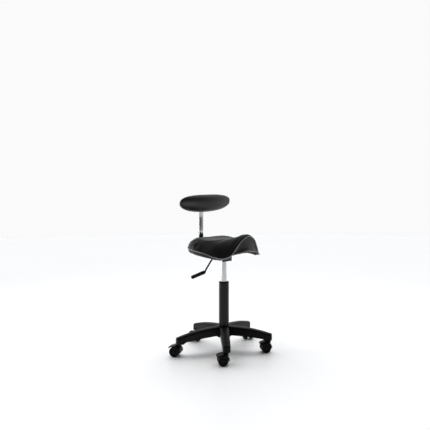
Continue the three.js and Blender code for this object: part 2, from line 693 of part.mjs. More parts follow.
const [cosRoll, sinRoll] = [Math.cos(PAD.roll * RAD), Math.sin(PAD.roll * RAD)];
function padRing(s, depth, count = 32) {
  if (s === 0) return [[0, depth(0, 0), PAD.middleZ]];
  return Array.from({ length: count }, (_, k) => {
    const [x, z] = padOutline(k / count);
    return [s * (x * cosRoll - z * sinRoll), depth(s * x, s), PAD.middleZ + s * (z * cosRoll + x * sinRoll)];
  });
}

const backrest = new THREE.Group();
backrest.position.set(0, hingeY, BACK.hingeZ);
backrest.rotation.x = PAD.lean * RAD;
stool.add(backrest);

piece('back_pad', skin([
  ...[0, 0.35, 0.6, 0.78, 0.9, 0.97, 1].map((s) => padRing(s, padFront)),
  ...[0.97, 0.85, 0].map((s) => padRing(s, padRear)),
]), LEATHER, backrest);

const padBoardFront = PAD.backY + GAP;
const padBoardBack = padBoardFront + PAD.boardThickness;
const bracketFront = padBoardBack + GAP;
const bracketPlate = 2.5;
const padScrewPlaces = [['left', -15], ['right', 15]];
const padScrewZ = 28;
const padHole = (x) => rod(2 + GAP, -5, 40, 12).rotateX(90 * RAD).translate(x, 0, padScrewZ);

const padBoard = across(ellipse(138, 28), padBoardFront, padBoardBack, 12)
  .rotateY(-PAD.roll * RAD)
  .translate(0, 0, PAD.middleZ + 1);
piece('pad_board', cut(padBoard, ...padScrewPlaces.map(([, x]) => padHole(x))), BOARD, backrest);

// The hinge bracket: a plate on the pad's board with an ear each side of the tube.
function padBracket() {
  const plate = block(-22, 22, bracketFront, bracketFront + bracketPlate, -8.5, 40);
  const ear = new THREE.Shape();
  ear.moveTo(bracketFront + 1, 13);
  ear.lineTo(bracketFront + 1, -8);
  ear.lineTo(0, -8);
  ear.absarc(0, 0, 8, -90 * RAD, 90 * RAD);
  const ears = [-15.6, 15.6].map((x) => sideways(ear, 1.25, 6).translate(x, 0, 0));
  const hole = rod(3 + GAP, -40, 40, 12).rotateY(90 * RAD);
  return cut(join(plate, ...ears), hole, ...padScrewPlaces.map(([, x]) => padHole(x)));
}

piece('pad_bracket', padBracket(), POWDER_COAT, backrest);
const screwFace = bracketFront + bracketPlate + GAP;
const padScrew = turned([
  [0, PAD.backY + 1], [2, PAD.backY + 1], [2, screwFace], [4, screwFace], [3.4, screwFace + 2],
  [0, screwFace + 2],
], 12).rotateX(-90 * RAD);
padScrewPlaces.forEach(([side, x]) => {
  piece(`pad_screw_${side}`, padScrew.clone().translate(x, 0, padScrewZ), ZINC, backrest);
});

export default group;
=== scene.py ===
import json
import math

import bmesh
import bpy
from mathutils import Matrix, Vector
from mathutils.bvhtree import BVHTree


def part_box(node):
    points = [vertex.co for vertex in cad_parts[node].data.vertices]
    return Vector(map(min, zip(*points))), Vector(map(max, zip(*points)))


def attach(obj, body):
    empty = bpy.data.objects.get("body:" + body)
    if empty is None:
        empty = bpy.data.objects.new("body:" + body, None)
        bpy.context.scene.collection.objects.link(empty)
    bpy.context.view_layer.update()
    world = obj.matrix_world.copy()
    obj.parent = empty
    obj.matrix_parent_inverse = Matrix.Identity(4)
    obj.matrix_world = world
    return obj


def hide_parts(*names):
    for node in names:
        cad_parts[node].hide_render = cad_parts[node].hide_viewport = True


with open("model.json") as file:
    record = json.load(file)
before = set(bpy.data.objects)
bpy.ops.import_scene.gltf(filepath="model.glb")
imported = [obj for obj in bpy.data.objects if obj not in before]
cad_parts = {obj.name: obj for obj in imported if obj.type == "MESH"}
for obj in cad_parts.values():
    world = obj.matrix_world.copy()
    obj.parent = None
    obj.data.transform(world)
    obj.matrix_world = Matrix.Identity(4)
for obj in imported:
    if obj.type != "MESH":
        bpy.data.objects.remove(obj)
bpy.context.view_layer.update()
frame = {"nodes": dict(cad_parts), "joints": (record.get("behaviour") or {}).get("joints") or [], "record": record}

# ---------------------------------------------------------------- places and sizes

MM = 0.001
TURN = 2 * math.pi
column_low, column_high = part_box("column_tube")
COLUMN_AXIS = Vector(((column_low.x + column_high.x) / 2, (column_low.y + column_high.y) / 2, 0))

LEGS = 5
FIRST_LEG = math.radians(225.2)  # the leg under the sitter's right knee
STEM_RADIUS = 228  # from the column's axis to a caster's stem
CASTER_TRAIL = 18
WHEEL_RADIUS = 24
WHEEL_INNER = 9  # from a caster's mid plane to a wheel's inner face
VISOR_REACH = 30.5  # from the wheels' axle to the tip of the hood
CASTER_HEADINGS = (141, 142, 241, 196, 116)
PAD_LEAN = math.radians(8)


def on_stool(x, y, z):
    """A place in millimetres from the column's axis, as a point in the frame."""
    return COLUMN_AXIS + Vector((x, y, z)) * MM


def mix(a, b, share):
    return a + (b - a) * share


def smoothstep(value, low, high):
    share = min(max((value - low) / (high - low), 0), 1)
    return share * share * (3 - 2 * share)


def through(stops):
    """A smooth function of one number through (at, value) stops."""
    def slope(i):
        a, b = stops[max(i - 1, 0)], stops[min(i + 1, len(stops) - 1)]
        return (b[1] - a[1]) / (b[0] - a[0])

    def value(at):
        at = min(max(at, stops[0][0]), stops[-1][0])
        i = max(k for k in range(len(stops) - 1) if stops[k][0] <= at)
        (x0, y0), (x1, y1) = stops[i], stops[i + 1]
        h = x1 - x0
        t = (at - x0) / h
        return ((2 * t**3 - 3 * t**2 + 1) * y0 + (t**3 - 2 * t**2 + t) * h * slope(i)
                + (3 * t**2 - 2 * t**3) * y1 + (t**3 - t**2) * h * slope(i + 1))

    return value


# ---------------------------------------------------------------- finishes

class Value:
    """A node's output socket that arithmetic can be done on."""

    def __init__(self, work, socket):
        self.work = work
        self.socket = socket

    def math(self, operation, *operands):
        return self.work.node("ShaderNodeMath", {"operation": operation}, dict(enumerate(operands)))

    def __add__(self, other):
        return self.math("ADD", self, other)

    __radd__ = __add__

    def __sub__(self, other):
        return self.math("SUBTRACT", self, other)

    def __rsub__(self, other):
        return self.math("SUBTRACT", other, self)

    def __mul__(self, other):
        return self.math("MULTIPLY", self, other)

    __rmul__ = __mul__


class NodeWork:
    """The nodes of one tree, each made by one method."""

    def __init__(self, tree):
        self.tree = tree

    def node(self, kind, settings, inputs, output=0):
        made = self.tree.nodes.new(kind)
        for name, value in settings.items():
            if name == "stops":
                self.set_stops(made.color_ramp, value)
            else:
                setattr(made, name, value)
        for name, value in inputs.items():
            if isinstance(value, Value):
                self.tree.links.new(value.socket, made.inputs[name])
            else:
                made.inputs[name].default_value = value
        return Value(self, made.outputs[output])

    @staticmethod
    def set_stops(ramp, stops):
        while len(ramp.elements) < len(stops):
            ramp.elements.new(0.5)
        for element, (position, level) in zip(ramp.elements, stops):
            element.position = position
            element.color = (level, level, level, 1)


class Finish(NodeWork):
    """One material: a Principled surface and the nodes that vary it."""

    def __init__(self, name, **constants):
        self.material = bpy.data.materials.new(name)
        self.material.use_nodes = True
        super().__init__(self.material.node_tree)
        self.surface = self.tree.nodes["Principled BSDF"]
        self.place = self.node("ShaderNodeTexCoord", {}, {}, "Object")
        for socket, value in constants.items():
            self.surface.inputs[socket.replace("_", " ")].default_value = value

    def noise(self, scale, detail=2.0, roughness=0.5, stretch=None):
        vector = self.place
        if stretch:
            vector = self.node("ShaderNodeMapping", {}, {"Vector": self.place, "Scale": stretch})
        inputs = {"Vector": vector, "Scale": scale, "Detail": detail, "Roughness": roughness}
        return self.node("ShaderNodeTexNoise", {}, inputs, "Fac")

    def cells(self, scale, feature="F1", randomness=1.0):
        inputs = {"Vector": self.place, "Scale": scale, "Randomness": randomness}
        return self.node("ShaderNodeTexVoronoi", {"feature": feature}, inputs, "Distance")

    def ramp(self, value, *stops):
        return self.node("ShaderNodeValToRGB", {"stops": stops}, {"Fac": value}, "Color")

    def colour(self, mask, low, high):
        """The colour low where mask is 0, high where it is 1."""
        settings = {"data_type": "RGBA"}
        return self.node("ShaderNodeMix", settings, {0: mask, 6: (*low, 1), 7: (*high, 1)}, 2)

    def worn_edges(self, low=0.52, high=0.6):
        """1 on sharp outward edges, 0 on flats."""
        point = self.node("ShaderNodeNewGeometry", {}, {}, "Pointiness")
        return self.ramp(point, (low, 0), (high, 1))

    def bump(self, height, distance, strength=1.0, under=None):
        inputs = {"Height": height, "Distance": distance, "Strength": strength}
        if under:
            inputs["Normal"] = under
        return self.node("ShaderNodeBump", {}, inputs, "Normal")

    def feed(self, **links):
        for socket, value in links.items():
            self.tree.links.new(value.socket, self.surface.inputs[socket.replace("_", " ")])
        return self.material


def upholstery_leather():
    """Fine-grained black leather, its tone and gloss varying in broad random patches."""
    made = Finish("black_leather", Specular_IOR_Level=0.26, Sheen_Weight=0.02, Sheen_Roughness=0.4)
    pores = made.cells(900)
    grain = made.cells(420, "SMOOTH_F1", 0.9)
    fold = made.noise(38, 4, 0.6, (1, 1, 0.7))
    broad = made.noise(9, 3)
    crease = made.ramp(made.noise(22, 5, 0.62, (1, 2.2, 1)), (0.46, 1), (0.5, 0), (0.54, 1))
    base = made.colour(broad, (0.0045, 0.0045, 0.0053), (0.009, 0.009, 0.0104))
    rough = 0.36 + 0.12 * broad + 0.1 * grain
    cover = made.bump(crease, 0.0006, 0.25)
    cover = made.bump(fold, 0.0012, 0.3, cover)
    cover = made.bump(grain * 0.7 + pores * 0.3, 0.00022, 0.55, cover)
    return made.feed(Base_Color=base, Roughness=rough, Normal=cover)


def welt_leather_painted_highlight():
    """The rolled piping: the same hide stretched over cord, its colour lightened to grey as a painted highlight,
    lightest on sharp edges, partly as edge wear.
    """
    made = Finish("welt_leather_painted_highlight", Specular_IOR_Level=0.7, Coat_Roughness=0.2)
    grain = made.cells(700)
    edge_mask = made.worn_edges(0.5, 0.58)
    patch = made.noise(30, 3)
    # painted highlight: a grey base far lighter than the black hide, lighter still on sharp edges (partly edge
    # wear)
    base = made.colour(edge_mask * patch, (0.16, 0.16, 0.165), (0.42, 0.42, 0.43))
    rough = 0.3 + 0.14 * patch
    return made.feed(Base_Color=base, Roughness=rough, Coat_Weight=0.15 * edge_mask,
                     Normal=made.bump(grain, 0.00015, 0.5))


def moulded_nylon(name, shade, rough, grain_size, grain_depth):
    """Moulded black plastic with a spark-eroded grain and slightly scuffed edges."""
    made = Finish(name, Specular_IOR_Level=0.1)
    scuff = made.worn_edges()
    patch = made.noise(14, 4)
    specks = made.noise(grain_size, 2)
    dust = made.ramp(made.noise(60, 6, 0.7), (0.56, 0), (0.72, 1))
    wear = scuff * 0.5 + dust * 0.18
    dark = tuple(shade * v for v in (1, 1, 1.08))
    light = tuple(shade * v + 0.03 for v in (1, 1, 1.02))
    base = made.colour(wear, dark, light)
    level = rough + 0.1 * patch - 0.05 * scuff
    return made.feed(Base_Color=base, Roughness=level, Normal=made.bump(specks, grain_depth, 0.5))


def powder_coat():
    """Black powder-coated steel with its faint orange-peel skin."""
    made = Finish("powder_coat", Specular_IOR_Level=0.22, Coat_Roughness=0.1)
    peel = made.noise(260, 2)
    patch = made.noise(12, 3)
    edge_mask = made.worn_edges(0.53, 0.62)
    base = made.colour(edge_mask * patch, (0.004, 0.004, 0.0046), (0.02, 0.02, 0.022))
    return made.feed(Base_Color=base, Roughness=0.1 + 0.06 * patch, Coat_Weight=0.08 * patch,
                     Normal=made.bump(peel, 0.00012, 0.35))


def bright_chrome():
    """Polished chrome with faint wipe marks along its length."""
    made = Finish("bright_chrome", Metallic=1.0)
    wipes = made.noise(90, 3, 0.6, (1, 1, 0.06))
    haze = made.noise(18, 4)
    base = made.colour(haze, (0.5, 0.51, 0.53), (0.64, 0.645, 0.66))
    return made.feed(Base_Color=base, Roughness=0.07 + 0.05 * wipes + 0.04 * haze,
                     Normal=made.bump(wipes, 0.00003, 0.2))


def zinc_plate():
    """Dull zinc-plated steel, with the blotches of the bath."""
    made = Finish("zinc_plate", Metallic=1.0)
    blotch = made.noise(70, 4, 0.6)
    base = made.colour(blotch, (0.3, 0.31, 0.33), (0.46, 0.47, 0.49))
    return made.feed(Base_Color=base, Roughness=0.3 + 0.16 * blotch,
                     Normal=made.bump(made.noise(500), 0.00005, 0.3))


def pan_board():
    """The pressed black pan under the upholstery: fibrous and matte."""
    made = Finish("pan_board", Specular_IOR_Level=0.35)
    fibre = made.noise(120, 5, 0.65, (1, 0.25, 1))
    base = made.colour(fibre, (0.008, 0.008, 0.009), (0.022, 0.022, 0.023))
    return made.feed(Base_Color=base, Roughness=0.62 + 0.2 * fibre, Normal=made.bump(fibre, 0.0003, 0.4))


def soft_rubber():
    """Black rubber with a pale bloom."""
    made = Finish("soft_rubber", Specular_IOR_Level=0.3)
    bloom = made.noise(80, 4)
    base = made.colour(bloom, (0.01, 0.01, 0.01), (0.022, 0.022, 0.022))
    return made.feed(Base_Color=base, Roughness=0.75 + 0.15 * bloom,
                     Normal=made.bump(bloom, 0.0002, 0.3))


LEATHER = upholstery_leather()
# the piping's finish carries a painted highlight in its base colour
WELT_PAINTED_HIGHLIGHT = welt_leather_painted_highlight()
NYLON = moulded_nylon("base_nylon", 0.006, 0.4, 420, 0.00022)
CASTER_PLASTIC = moulded_nylon("caster_plastic", 0.006, 0.28, 600, 0.00008)
WHEEL_PLASTIC = moulded_nylon("wheel_plastic", 0.008, 0.4, 500, 0.00012)
ACETAL = moulded_nylon("acetal", 0.007, 0.34, 700, 0.00006)
GRIP_PLASTIC = moulded_nylon("grip_plastic", 0.01, 0.42, 520, 0.00015)
POWDER = powder_coat()
CHROME = bright_chrome()
ZINC = zinc_plate()
BOARD = pan_board()
RUBBER = soft_rubber()
SLOT_FINISHES = {
    "nylon": NYLON, "powder_coat": POWDER, "chrome": CHROME, "zinc_steel": ZINC,
    "leather": LEATHER, "board": BOARD, "rubber": RUBBER, "caster_plastic": CASTER_PLASTIC,
    "wheel_plastic": WHEEL_PLASTIC, "acetal": ACETAL, "grip_plastic": GRIP_PLASTIC,
}

# ---------------------------------------------------------------- making pieces


def finish_piece(piece, body, slot, material=None, sharp=38, replaces=()):
    """Gives a new piece its finish, its shading, its body and the nodes it stands for."""
    piece.data.materials.clear()
    piece.data.materials.append(material or SLOT_FINISHES[slot])
    if piece.type == "MESH":
        piece.data.shade_smooth()
        piece.data.set_sharp_from_angle(angle=math.radians(sharp))
    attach(piece, body)
    if replaces:
        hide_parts(*replaces)
    return piece


def piece_from(name, points, faces, merge=1e-6):
    """A mesh object from points in the frame, welded, its faces pointing out."""
    data = bpy.data.meshes.new(name)
    data.from_pydata([tuple(p) for p in points], [], faces)
    shape = bmesh.new()
    shape.from_mesh(data)
    bmesh.ops.remove_doubles(shape, verts=shape.verts, dist=merge)
    bmesh.ops.recalc_face_normals(shape, faces=shape.faces)
    shape.to_mesh(data)
    shape.free()
    piece = bpy.data.objects.new(name, data)
    bpy.context.scene.collection.objects.link(piece)
    return piece


def skin(rings, ends="fan"):
    """Points and faces over a stack of closed rings; a ring of one point closes an end."""
    points, starts, faces = [], [], []
    for entry in rings:
        starts.append(len(points))
        points.extend(entry)
    count = max(len(entry) for entry in rings)
    for k in range(len(rings) - 1):
        single = [len(rings[k]) == 1, len(rings[k + 1]) == 1]
        for i in range(count):
            j = (i + 1) % count
            low = [starts[k]] if single[0] else [starts[k] + i, starts[k] + j]
            high = [starts[k + 1]] if single[1] else [starts[k + 1] + j, starts[k + 1] + i]
            faces.append(low + high)
    if ends == "flat":
        faces.append(list(range(starts[0], starts[0] + count)))
        faces.append(list(range(starts[-1], starts[-1] + count)))
    return points, faces


def turned(name, profile, steps=64):
    """A piece turned about Z from (radius, height) points in millimetres."""
    rings = []
    for radius, height in profile:
        if radius == 0:
            rings.append([Vector((0, 0, height * MM))])
        else:
            rings.append([Vector((radius * math.cos(a), radius * math.sin(a), height)) * MM
                          for a in (TURN * i / steps for i in range(steps))])
    if len(rings[0]) > 1:
        rings.append(rings[0])
    return piece_from(name, *skin(rings))


def moved(piece, matrix):
    piece.data.transform(matrix)
    return piece


def shifted(piece, x=0, y=0, z=0):
    return moved(piece, Matrix.Translation(on_stool(x, y, z)))


def eased(corners, radius, steps=4):
    """A profile's corner points with each corner rounded; a corner may give its own radius."""
    made = []
    for k, corner in enumerate(corners):
        here = Vector(corner[:2])
        own = corner[2] if len(corner) > 2 else radius
        if k in (0, len(corners) - 1) or own == 0:
            made.append(tuple(here))
            continue
        before = Vector(corners[k - 1][:2]) - here
        after = Vector(corners[k + 1][:2]) - here
        reach = min(own, before.length * 0.49, after.length * 0.49)
        start, end = here + before.normalized() * reach, here + after.normalized() * reach
        for i in range(steps + 1):
            t = i / steps
            made.append(tuple(start * (1 - t) ** 2 + here * 2 * t * (1 - t) + end * t * t))
    return made


def tube_along(name, path, radius, sides=16, closed=False, flat_ends=True):
    """A round tube along a path of points, turning without twist."""
    count = len(path)
    rings = []
    side = None
    for k, point in enumerate(path):
        if closed:
            along = path[(k + 1) % count] - path[k - 1]
        else:
            along = path[min(k + 1, count - 1)] - path[max(k - 1, 0)]
        along = along.normalized()
        if side is None:
            side = along.orthogonal().normalized()
        side = (side - along * side.dot(along)).normalized()
        other = along.cross(side)
        rings.append([point + (side * math.cos(a) + other * math.sin(a)) * radius
                      for a in (TURN * i / sides for i in range(sides))])
    if closed:
        rings.append(rings[0])
    return piece_from(name, *skin(rings, "flat" if flat_ends and not closed else "fan"))


def bevelled(node, width, body, slot, segments=3, angle=32):
    """A copy of a CAD node with its sharp edges rounded, standing for that node."""
    source = frame["nodes"][node]
    data = source.data.copy()
    data.name = f"{node}_shell"
    shape = bmesh.new()
    shape.from_mesh(data)
    bmesh.ops.remove_doubles(shape, verts=shape.verts, dist=1e-5)
    bmesh.ops.dissolve_limit(shape, angle_limit=math.radians(1), verts=shape.verts, edges=shape.edges)
    folds = [e for e in shape.edges if len(e.link_faces) == 2]
    sharp = [e for e in folds if e.calc_face_angle(0) > math.radians(angle)]
    bmesh.ops.bevel(shape, geom=sharp, offset=width * MM, segments=segments, profile=0.6,
                    affect="EDGES", clamp_overlap=True)
    shape.to_mesh(data)
    shape.free()
    piece = bpy.data.objects.new(f"{node}_shell", data)
    bpy.context.scene.collection.objects.link(piece)
    return finish_piece(piece, body, slot, replaces=(node,))


# ---------------------------------------------------------------- saddle's shape

HALF_WIDTH = 176
REAR_DEPTH = 133
REAR_FULLNESS = 0.84
WIDEST_Y = 18
FLAP_X, FLAP_Y, NOSE_Y = 101, -142, -164.3
SIDE_START, FRONT_START = 0.42, 0.78
SEAT_MIDDLE_Y = -10
HEM_SCALE = 0.965
BOARD_TOP = 489.8

full_z = through([
    (0, 517), (0.21, 513), (0.36, 507), (0.45, 499), (0.51, 492), (0.6, 483), (0.67, 480),
    (0.73, 482), (0.78, 488), (0.815, 509), (0.852, 530), (0.883, 547), (0.93, 562),
    (0.975, 570.5), (1, 572.3),
])
hem_z = through([
    (0, 494), (0.21, 490), (0.36, 486), (0.45, 477), (0.51, 471), (0.6, 465.5), (0.67, 465),
    (0.73, 471.5), (0.78, 483.5), (0.86, 489.5), (0.93, 494), (1, 498),
])
crown_z = through([
    (-165, 585), (-150, 584.5), (-122, 579), (-94, 570), (-60, 560), (-20, 550), (20, 544),
    (60, 545), (90, 552), (120, 562), (150, 567),
])
side_rise = through([(-165, -110), (-100, -62), (-55, -31), (0, -6), (50, 4), (100, 9), (150, 8)])


def seat_outline(t):
    """The saddle's outline from above: 0 is the middle of the rear edge, 1 of the nose."""
    if t < SIDE_START:
        a = t / SIDE_START * math.pi / 2
        return (HALF_WIDTH * math.sin(a) ** REAR_FULLNESS,
                WIDEST_Y + REAR_DEPTH * max(math.cos(a), 0) ** REAR_FULLNESS)
    if t < FRONT_START:
        a = (t - SIDE_START) / (FRONT_START - SIDE_START) * math.pi / 2
        return (HALF_WIDTH - (HALF_WIDTH - FLAP_X) * (1 - math.cos(a)),
                WIDEST_Y - (WIDEST_Y - FLAP_Y) * math.sin(a))
    x = FLAP_X * (1 - t) / (1 - FRONT_START)
    return x, NOSE_Y + (FLAP_Y - NOSE_Y) * (x / FLAP_X) ** 2


def seat_place(t, s, height):
    """A point on the saddle, at share s of the way out to outline place t (0 to 2)."""
    side = -1 if t > 1 else 1
    half = 2 - t if t > 1 else t
    ox, oy = seat_outline(half)
    x, y = s * side * ox, SEAT_MIDDLE_Y + s * (oy - SEAT_MIDDLE_Y)
    return Vector((x, y, height(half, s, x, y)))


def saddle_top(t, s, x, y):
    roll = 1 - math.sqrt(max(1 - s**6, 0))
    return mix(crown_z(y) + side_rise(y) * (x / 100) ** 2, full_z(t), roll)


def saddle_under(t, s, x, y):
    return mix(BOARD_TOP, hem_z(t), smoothstep(s, 0.55, HEM_SCALE)) + 0.6


def front_share(t):
    """1 in the middle of the front arch, 0 round the sides and the rear."""
    half = 2 - t if t > 1 else t
    return smoothstep(half, FRONT_START + 0.01, FRONT_START + 0.09)


def boxing_place(t, v):
    """A point on the side band: v is 0 at the welt and 1 at the hem."""
    arch = front_share(t)
    inset = math.sin(math.pi * min(v * 1.15, 1)) * mix(-0.006, 0.05, arch)
    s = mix(1, HEM_SCALE, v) - inset
    return seat_place(t, s, lambda half, _s, x, y: mix(full_z(half), hem_z(half) + 0.6, v))


# ---------------------------------------------------------------- upholstery

AROUND = 168  # places round a cushion's outline
TOP_SHARES = (0.06, 0.13, 0.2, 0.27, 0.34, 0.41, 0.48, 0.55, 0.61, 0.67, 0.72, 0.77, 0.81, 0.85,
              0.885, 0.915, 0.94, 0.96, 0.976, 0.988, 0.996)
BAND_STEPS = 8
UNDER_SHARES = (0.93, 0.88, 0.74, 0.55, 0.3)
WEAVE = 0.0045  # the size of the cover's mesh, in metres
STUFFING_STEPS = 20
SADDLE_SWELL, SADDLE_PRESSURE = 0.006, 12
PAD_SWELL, PAD_PRESSURE = 0.003, 6


def seat_ring(place_at):
    return [on_stool(*place_at(2 * i / AROUND)) for i in range(AROUND)]


def saddle_blank():
    """The saddle's closed upholstery form, before it is stuffed."""
    rings = [[on_stool(*seat_place(0, 0, saddle_top))]]
    rings += [seat_ring(lambda t, s=s: seat_place(t, s, saddle_top)) for s in TOP_SHARES]
    rings += [seat_ring(lambda t, v=v: boxing_place(t, v / BAND_STEPS)) for v in range(BAND_STEPS + 1)]
    rings += [seat_ring(lambda t, s=s: seat_place(t, s, saddle_under)) for s in UNDER_SHARES]
    rings.append([on_stool(*seat_place(0, 0, saddle_under))])
    return piece_from("saddle_cushion", *skin(rings))


def saddle_welt_line(steps=240):
    """The places of the piping round the saddle's full line."""
    return [on_stool(*seat_place(2 * i / steps, 1, saddle_top)) for i in range(steps)]


def stuffed(piece, held, swell, pressure):
    """Fills a cover: its cloth is blown out between the places where it is held."""
    start_mesh = piece.data
    remesh = piece.modifiers.new("weave", "REMESH")
    remesh.mode = "VOXEL"
    remesh.voxel_size = WEAVE
    bake_modifiers(piece)
    bpy.data.meshes.remove(start_mesh)
    rest = [v.co.copy() for v in piece.data.vertices]
    group = piece.vertex_groups.new(name="held")
    for vertex in piece.data.vertices:
        weight = held(vertex.co)
        if weight > 0:
            group.add([vertex.index], weight, "REPLACE")
    cloth = piece.modifiers.new("cover", "CLOTH")
    cloth.settings.vertex_group_mass = "held"
    cloth.settings.pin_stiffness = 1
    cloth.settings.quality = 5
    cloth.settings.mass = 0.4
    cloth.settings.tension_stiffness = 6
    cloth.settings.compression_stiffness = 6
    cloth.settings.bending_stiffness = 0.5
    cloth.settings.use_pressure = True
    cloth.settings.uniform_pressure_force = pressure
    cloth.settings.effector_weights.gravity = 0
    cloth.collision_settings.use_collision = False
    scene = bpy.context.scene
    for step in range(1, STUFFING_STEPS + 1):
        scene.frame_set(step)
    bake_modifiers(piece)
    scene.frame_set(1)
    for vertex, was in zip(piece.data.vertices, rest):
        push = vertex.co - was
        if push.length > swell:
            vertex.co = was + push.normalized() * swell
    piece.vertex_groups.clear()
    return piece


def bake_modifiers(piece):
    """Makes the piece's mesh what its modifiers give, and removes them."""
    graph = bpy.context.evaluated_depsgraph_get()
    made = bpy.data.meshes.new_from_object(piece.evaluated_get(graph))
    piece.modifiers.clear()
    piece.data = made


def relaxed(piece, rounds):
    """Evens out a mesh by moving each point half way to the middle of its neighbours."""
    shape = bmesh.new()
    shape.from_mesh(piece.data)
    for _ in range(rounds):
        bmesh.ops.smooth_vert(shape, verts=shape.verts, factor=0.5,
                              use_axis_x=True, use_axis_y=True, use_axis_z=True)
    shape.to_mesh(piece.data)
    shape.free()
    return piece


def subdivided(piece, levels=1):
    modifier = piece.modifiers.new("smooth_cover", "SUBSURF")
    modifier.levels = levels
    modifier.render_levels = levels
    bake_modifiers(piece)
    return piece


def laid_on(piece, path, lift):
    """A path moved onto the piece's surface and lifted off it."""
    tree = BVHTree.FromObject(piece, bpy.context.evaluated_depsgraph_get())
    laid = []
    for point in path:
        spot, normal, _, _ = tree.find_nearest(point)
        laid.append(spot + normal * lift)
    return laid


def evened(path, rounds=3):
    for _ in range(rounds):
        path = [(path[k - 1] + path[k] * 2 + path[(k + 1) % len(path)]) / 4 for k in range(len(path))]
    return path


def near(line, reach, fade):
    """1 within reach of a line of points, falling to 0 over fade."""
    places = [tuple(p) for p in line]
    tree = BVHTree.FromPolygons(places, [(k, (k + 1) % len(places), (k + 1) % len(places))
                                         for k in range(len(places))])

    def closeness(point):
        distance = tree.find_nearest(point)[3]
        return 1 - smoothstep(distance, reach, reach + fade)

    return closeness


def make_saddle():
    cushion = saddle_blank()
    welt_line = saddle_welt_line()
    hem_line = [on_stool(*boxing_place(2 * i / 240, 1)) for i in range(240)]
    by_welt = near(welt_line, 0.003, 0.004)
    by_hem = near(hem_line, 0.004, 0.004)

    def held(point):
        local = (point - COLUMN_AXIS) / MM
        over_board = abs(local.x) < 140 and -130 < local.y < 110
        under = 1.0 if local.z < BOARD_TOP + 1 and over_board else 0.0
        return max(by_welt(point), by_hem(point), under)

    stuffed(cushion, held, SADDLE_SWELL, SADDLE_PRESSURE)
    relaxed(cushion, 2)
    subdivided(cushion)
    finish_piece(cushion, "seat", "leather", sharp=60, replaces=("seat_cushion",))

    welt_path = evened(laid_on(cushion, welt_line, 0.0004))
    welt = tube_along("saddle_welt", welt_path, 0.0021, 10, closed=True)
    finish_piece(welt, "seat", "leather", WELT_PAINTED_HIGHLIGHT, sharp=80)
    hem_path = evened(laid_on(cushion, hem_line, 0.0))
    hem = tube_along("saddle_hem", hem_path, 0.0012, 8, closed=True)
    finish_piece(hem, "seat", "leather", WELT_PAINTED_HIGHLIGHT, sharp=80)


PAD_HALF_WIDTH = 182
PAD_ROLL = math.radians(2.2)  # the -X end hangs lower
PAD_MIDDLE_Z = 26
PAD_UP, PAD_DOWN = 39.5, 47.5
PAD_EDGE_Y, PAD_BACK_Y = -29.5, -17
PAD_FRONT_Y, PAD_END_FRONT_Y = -66.5, -46
back_hinge = next(j for j in frame["joints"] if j["name"] == "back_tilt")["pos_m"]
BACK_HINGE = Vector(back_hinge)


def pad_outline(t):
    a = TURN * t
    upper = math.sin(a) > 0
    power = 2 / 2.8 if upper else 2 / 2.15
    x = math.copysign(abs(math.cos(a)) ** power, math.cos(a))
    z = math.copysign(abs(math.sin(a)) ** power, math.sin(a))
    return PAD_HALF_WIDTH * x, z * (PAD_UP if upper else PAD_DOWN)


def on_pad(x, y, z):
    """A place in the pad's own frame, its hinge pin at 0, as a point in the frame."""
    return BACK_HINGE + Matrix.Rotation(PAD_LEAN, 3, "X") @ (Vector((x, y, z)) * MM)


def pad_front(x, s):
    face = mix(PAD_FRONT_Y, PAD_END_FRONT_Y, (x / PAD_HALF_WIDTH) ** 2)
    return PAD_EDGE_Y - (PAD_EDGE_Y - face) * math.sqrt(1 - s**3)


def pad_rear(x, s):
    return PAD_EDGE_Y + (PAD_BACK_Y - PAD_EDGE_Y) * math.sqrt(1 - s**8)


def pad_ring(s, depth):
    if s == 0:
        return [on_pad(0, depth(0, 0), PAD_MIDDLE_Z)]
    ring = []
    for i in range(AROUND):
        x, z = pad_outline(i / AROUND)
        along = x * math.cos(PAD_ROLL) - z * math.sin(PAD_ROLL)
        rise = z * math.cos(PAD_ROLL) + x * math.sin(PAD_ROLL)
        ring.append(on_pad(s * along, depth(s * x, s), PAD_MIDDLE_Z + s * rise))
    return ring


def make_back_pad():
    front = (0, 0.12, 0.24, 0.36, 0.47, 0.57, 0.66, 0.74, 0.81, 0.87, 0.915, 0.95, 0.975, 0.99, 1)
    rear = (0.99, 0.97, 0.93, 0.85, 0.7, 0.45, 0.2, 0)
    rings = [pad_ring(s, pad_front) for s in front] + [pad_ring(s, pad_rear) for s in rear]
    pad = piece_from("back_cushion", *skin(rings))
    rim = pad_ring(1, pad_front)
    by_rim = near(rim, 0.003, 0.004)

    def held(point):
        local = Matrix.Rotation(-PAD_LEAN, 3, "X") @ (point - BACK_HINGE) / MM
        return max(by_rim(point), 1.0 if local.y > PAD_EDGE_Y + 6 else 0.0)

    stuffed(pad, held, PAD_SWELL, PAD_PRESSURE)
    relaxed(pad, 2)
    subdivided(pad)
    finish_piece(pad, "backrest", "leather", sharp=60, replaces=("back_pad",))
    welt = tube_along("back_welt", evened(laid_on(pad, rim, 0.0003), 1), 0.0019, 10, closed=True)
    finish_piece(welt, "backrest", "leather", WELT_PAINTED_HIGHLIGHT, sharp=80)
    return pad


make_saddle()
back_pad = make_back_pad()

# ---------------------------------------------------------------- five-leg base

LEG_TIP = 242
HUB_RADIUS = 37
HUB_TOP = 120
TIP_TOP = 88
BOSS_START, BOSS_FOOT = STEM_RADIUS - 18, 58  # the solid end that holds a caster's stem
ARCH_END = STEM_RADIUS - 25
HOLLOW_START, HOLLOW_END = 44, 206


def bezier(a, b, c, t):
    return a * (1 - t) ** 2 + 2 * b * t * (1 - t) + c * t * t


def share_before(passed):
    """The share of the way along a curve up to which passed holds."""
    low, high = 0.0, 1.0
    for _ in range(24):
        t = (low + high) / 2
        low, high = (t, high) if passed(t) else (low, t)
    return t


def leg_top(r):
    """The height of a leg's back at a distance from the column's axis."""
    t = share_before(lambda share: bezier(0, LEG_TIP * 0.54, LEG_TIP - 6, share) < r)
    return bezier(HUB_TOP, HUB_TOP, TIP_TOP, t)


